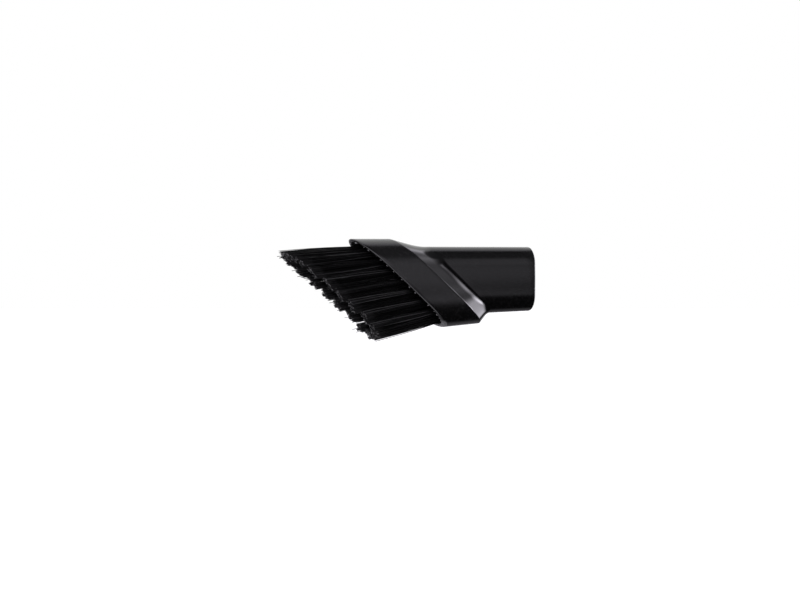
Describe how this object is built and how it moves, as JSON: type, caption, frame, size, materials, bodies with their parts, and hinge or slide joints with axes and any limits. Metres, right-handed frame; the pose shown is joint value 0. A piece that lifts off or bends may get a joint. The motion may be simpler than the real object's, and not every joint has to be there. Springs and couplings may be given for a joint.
{
  "type": "vacuum brush attachment",
  "caption": "Slanted dusting brush for a hand vacuum: an oval neck, a sloping shoulder and a slanted collar that holds a ring of long black bristle tufts.",
  "frame": {"origin": "middle of the neck's open end", "axes": "+X along the neck's axis, out of the brush and into the machine; the bristles point to -X; +Z is the side of the collar's long lip; XZ is the mirror plane of the moulding"},
  "size_m": [0.121, 0.0262, 0.0456],
  "materials": {
    "housing": "satin, fine grain",
    "carrier": "matte",
    "bristle": "satin nylon filament",
    "anchor": "flat drawn wire"
  },
  "bodies": {
    "root": {"housing": "housing", "bristle_carrier": "carrier", "tuft_01": "bristle", "tuft_02": "bristle", "tuft_03": "bristle", "tuft_04": "bristle", "tuft_05": "bristle", "tuft_06": "bristle", "tuft_07": "bristle", "tuft_08": "bristle", "tuft_09": "bristle", "tuft_10": "bristle", "tuft_11": "bristle", "tuft_12": "bristle", "tuft_13": "bristle", "tuft_14": "bristle", "tuft_15": "bristle", "tuft_16": "bristle", "tuft_17": "bristle", "tuft_18": "bristle", "tuft_19": "bristle", "anchor_01": "anchor", "anchor_02": "anchor", "anchor_03": "anchor", "anchor_04": "anchor", "anchor_05": "anchor", "anchor_06": "anchor", "anchor_07": "anchor", "anchor_08": "anchor", "anchor_09": "anchor", "anchor_10": "anchor", "anchor_11": "anchor", "anchor_12": "anchor", "anchor_13": "anchor", "anchor_14": "anchor", "anchor_15": "anchor", "anchor_16": "anchor", "anchor_17": "anchor", "anchor_18": "anchor", "anchor_19": "anchor"}
  },
  "joints": []
}
